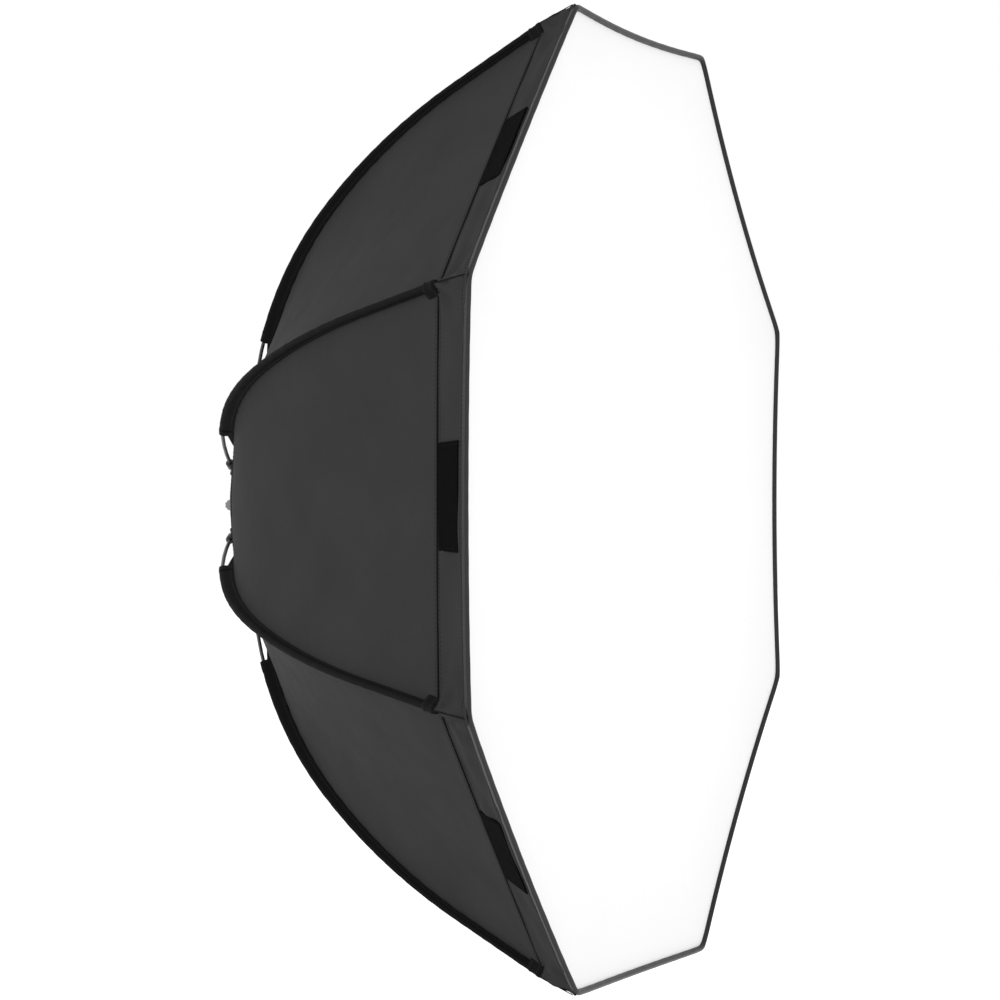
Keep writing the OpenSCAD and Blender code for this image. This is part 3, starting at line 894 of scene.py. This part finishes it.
WELT, EDGE = 3, 4
lip_finishes = [nylon, nylon, thread, webbing, binding]
lip_s = np.linspace(0, lip_run - 0.0022, 26)[:, None]
even_w = np.linspace(-1, 1, 121)
edge_w = np.sign(even_w) * np.abs(even_w) ** 1.5
ridge_s = np.linspace(0.001, lip_run - 0.005, 12)
for k in RODS:
    parts = []
    for side in (-1, 1):
        w = side * np.linspace(0, 1, 61)[None, :]
        grid = lip_point(k, w, lip_s)
        normals = -side * surface_normals(grid)
        panel = k if side > 0 else (k - 2) % 8 + 1
        q = np.abs(w) / 2 if side > 0 else 1 - np.abs(w) / 2
        grid = grid - lip_relief(panel, lip_s, q)[..., None] * normals
        normals = -side * surface_normals(grid)
        cut = np.stack([side * run_lengths(grid, 1), 0 * w + lip_s], -1)
        parts.append(thick_sheet(grid, normals, cut, CLOTH, OUTSIDE, LINING))
        parts.append(stitches(grid[-4], normals[-4]))
        parts.append(stitches(grid[2], normals[2]))
    welt = box_profile(0.0010, 0.0008, 12)
    parts.append(along_lip(k, edge_w, 0.0, -0.0003, welt, WELT, 0.0))
    edge = box_profile(EDGE_RADIUS + 0.0002, EDGE_RADIUS, 20)
    edge = np.repeat(edge, len(edge_w), 0)
    edge[..., 1] *= 1 + 0.04 * np.sin(40 * edge_w + k)[:, None]
    parts.append(along_lip(k, edge_w, lip_run - EDGE_RADIUS, 0.0018, edge, EDGE, CORNER_ROUND))
    corner = lip_point(k, 0 * ridge_s + 1e-9, ridge_s, -0.0001)
    step = np.gradient(corner, axis=0)
    step = step / np.linalg.norm(step, axis=-1, keepdims=True)
    across = np.tile(at_rod(k, 0, 1, 0), (len(ridge_s), 1))
    ridge = box_profile(0.0006, 0.0005, 12)
    parts.append(carried(corner, across, np.cross(across, step), ridge, WELT))
    lip = make_piece(f"front_lip_{k}_cloth", parts, lip_finishes, f"rib_{k}")
    middle = lip_point(k, np.array([1.0]), np.array([0.6 * lip_run]))
    lip_keep = float(gathered_share(middle @ at_rod(k, 1, 0, 0), -middle[:, 1])[0])
    gather(lip, k, lip_keep)
    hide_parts(f"front_lip_{k}")
    lip_width = float((tip_radius + RIM_RADIUS) * np.sin(HALF))

# ---------------------------------------------------------------- fastener strips
# Black loop tape sewn to the lip in the middle of each side, where a grid or a
# skirt is fastened. Half of each strip goes with the rod on either side.
STRIP_FROM, STRIP_TO = 0.0038, 0.0355
STRIP_THICK = 0.0016
STRIP_START = 0.745
STRIP_STITCH = (0.0034, 0.0026, 0.0009)
loop_tape = Finish("loop_tape", {"Specular IOR Level": 0.02})
loops = loop_tape.noise(2600, 3)
loop_tape.set("Base Color", loop_tape.blend(
    loops, (0.0012, 0.0012, 0.0013), (0.0058, 0.0058, 0.0060)
))
loop_tape.set("Roughness", loop_tape.noise(90) * 0.1 + 0.85)
loop_tape.bump(loops, 0.0006)

for k in RODS:
    parts = []
    for side in (-1, 1):
        strip_s = np.linspace(STRIP_FROM, STRIP_TO, 9)[:, None]
        w = side * np.linspace(STRIP_START, 1, 17)[None, :]
        grid = lip_point(k, w, strip_s, -0.0002 - STRIP_THICK)
        normals = -side * surface_normals(grid)
        edge_fall = np.minimum(np.abs(w) - STRIP_START, 0.02) / 0.02
        rounded = np.sqrt(np.clip(1 - (1 - edge_fall) ** 4, 0, 1))
        cut = np.stack([side * run_lengths(grid, 1), 0 * w + strip_s], -1)
        grid = grid - (0.0005 * (1 - rounded))[..., None] * normals
        parts.append(thick_sheet(grid, normals, cut, STRIP_THICK, 0, 0))
        for row in (1, -2):
            parts.append(stitches(grid[row], normals[row], *STRIP_STITCH))
        parts.append(stitches(grid[:, 1], normals[:, 1], *STRIP_STITCH))
    strip = make_piece(
        f"fastener_strip_{k}", parts, [loop_tape, loop_tape, webbing], f"rib_{k}",
    )
    gather(strip, k, lip_keep)
    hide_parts(f"front_lip_{k}")

# ---------------------------------------------------------------- diffuser
# One octagon of white diffusion cloth, pressed into the rim and stretched
# flat. It is made here in narrow double wedges that meet at a small hub.
STRIPS = 32
STRIP_ROWS, STRIP_COLUMNS = 46, 6
HUB_RADIUS = 0.0025
HUB_OVERLAP = 1.04
CENTRE_HEIGHT = 0.4385
DIFFUSER_CLOTH = 0.0004
BEHIND_EDGE, BELOW_LIP = 0.0052, 0.0030
RIPPLE = 0.00022
# How fast the diffuser's painted glow dims from the axis towards the rim.
PAINTED_GLOW_FADE = 1.9


def rim_share(angle):
    """Which rod is nearest to a direction about the axis, and how far the direction lies
    from it towards a side's middle, from -1 to 1: the place on the straight side that the
    direction's line meets."""
    k = np.floor(angle / (2 * HALF)) % 8 + 1
    turn = np.tan((angle - rod_angle(k) + np.pi) % (2 * np.pi) - np.pi)
    share = np.abs(turn) / (np.sin(HALF) * (np.cos(HALF) + np.abs(turn) * np.sin(HALF)))
    return k, np.sign(turn) * share


def diffuser_grid(angle, strip):
    """Points of one wedge, from a small hub to the rim. Each lies on the line from the
    centre to a point of the rim, the rim's height goes over into the centre's with the
    square of the distance, and small ripples stand on it."""
    u = np.linspace(HUB_RADIUS / RIM_RADIUS, 1, STRIP_ROWS)[:, None]
    c = np.linspace(-1, 1, STRIP_COLUMNS)[None, :]
    k, w = rim_share((angle + np.pi / (2 * STRIPS) * c) % (2 * np.pi))
    edge = lip_point(k, w, lip_run - BEHIND_EDGE, BELOW_LIP, CORNER_ROUND)
    grid = u[..., None] * edge
    ripple = RIPPLE * np.sin(2 * np.pi * (4.5 * u + 0.37 * strip)) * np.sin(np.pi * u) ** 2
    grid[..., 1] = -(CENTRE_HEIGHT + (-edge[..., 1] - CENTRE_HEIGHT) * u ** 2 + ripple)
    return grid


# The diffusion cloth is given a painted glow: a constant emission makes it shine as if lit from
# within, though it is no lamp.
diffusion = Finish("diffusion_cloth_painted_glow", {"Specular IOR Level": 0.05, "Emission Strength": 0.20})
threads = (diffusion.place("X") * 5200).sine() * (diffusion.place("Z") * 5200).sine()
diffusion.set("Base Color", diffusion.blend(
    diffusion.noise(9, 3) * 0.6 + threads * 0.1, (0.69, 0.69, 0.69), (0.72, 0.72, 0.72)
))
# Painted fall-off of that glow: the emission colour goes from white at the axis to grey towards
# the rim, a painted shade at the edges.
painted_glow_falloff = axis_distance(diffusion) * PAINTED_GLOW_FADE
painted_glow_falloff = painted_glow_falloff * painted_glow_falloff
diffusion.set("Emission Color", diffusion.blend(painted_glow_falloff, (1, 1, 1), (0.40, 0.40, 0.41)))
diffusion.set("Roughness", diffusion.noise(50) * 0.1 + 0.78)
diffusion.bump(threads, 0.00004)

for strip in range(STRIPS):
    angle = np.pi * strip / STRIPS
    parts = []
    for turned in (angle, angle + np.pi):
        grid = diffuser_grid(turned, strip)
        normals = surface_normals(grid)
        normals = normals * np.sign(-normals[..., 1:2])
        parts.append(thick_sheet(grid, normals, grid[..., [0, 2]], DIFFUSER_CLOTH, 0, 0))
    if strip == 0:
        turn = np.linspace(0, 2 * np.pi, 2 * STRIPS + 1)[:-1]
        hub = HUB_OVERLAP * HUB_RADIUS * np.stack([np.cos(turn), np.sin(turn)], -1)
        centres = np.array([[0, -CENTRE_HEIGHT, 0], [0, DIFFUSER_CLOTH - CENTRE_HEIGHT, 0]])
        side, up = np.tile([1.0, 0, 0], (2, 1)), np.tile([0, 0, 1.0], (2, 1))
        parts.append(carried(centres, side, up, np.stack([hub, hub]), 0))
    piece = make_piece(
        f"front_diffuser_{strip + 1}", parts, [diffusion], "diffuser",
    )
    _, w = rim_share(np.array([angle]))
    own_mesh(piece)
    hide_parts("front_diffuser")
    length = float(2 * run_lengths(grid, 0)[-1].mean())
    width = float(np.linalg.norm(grid[-1, -1] - grid[-1, 0]))
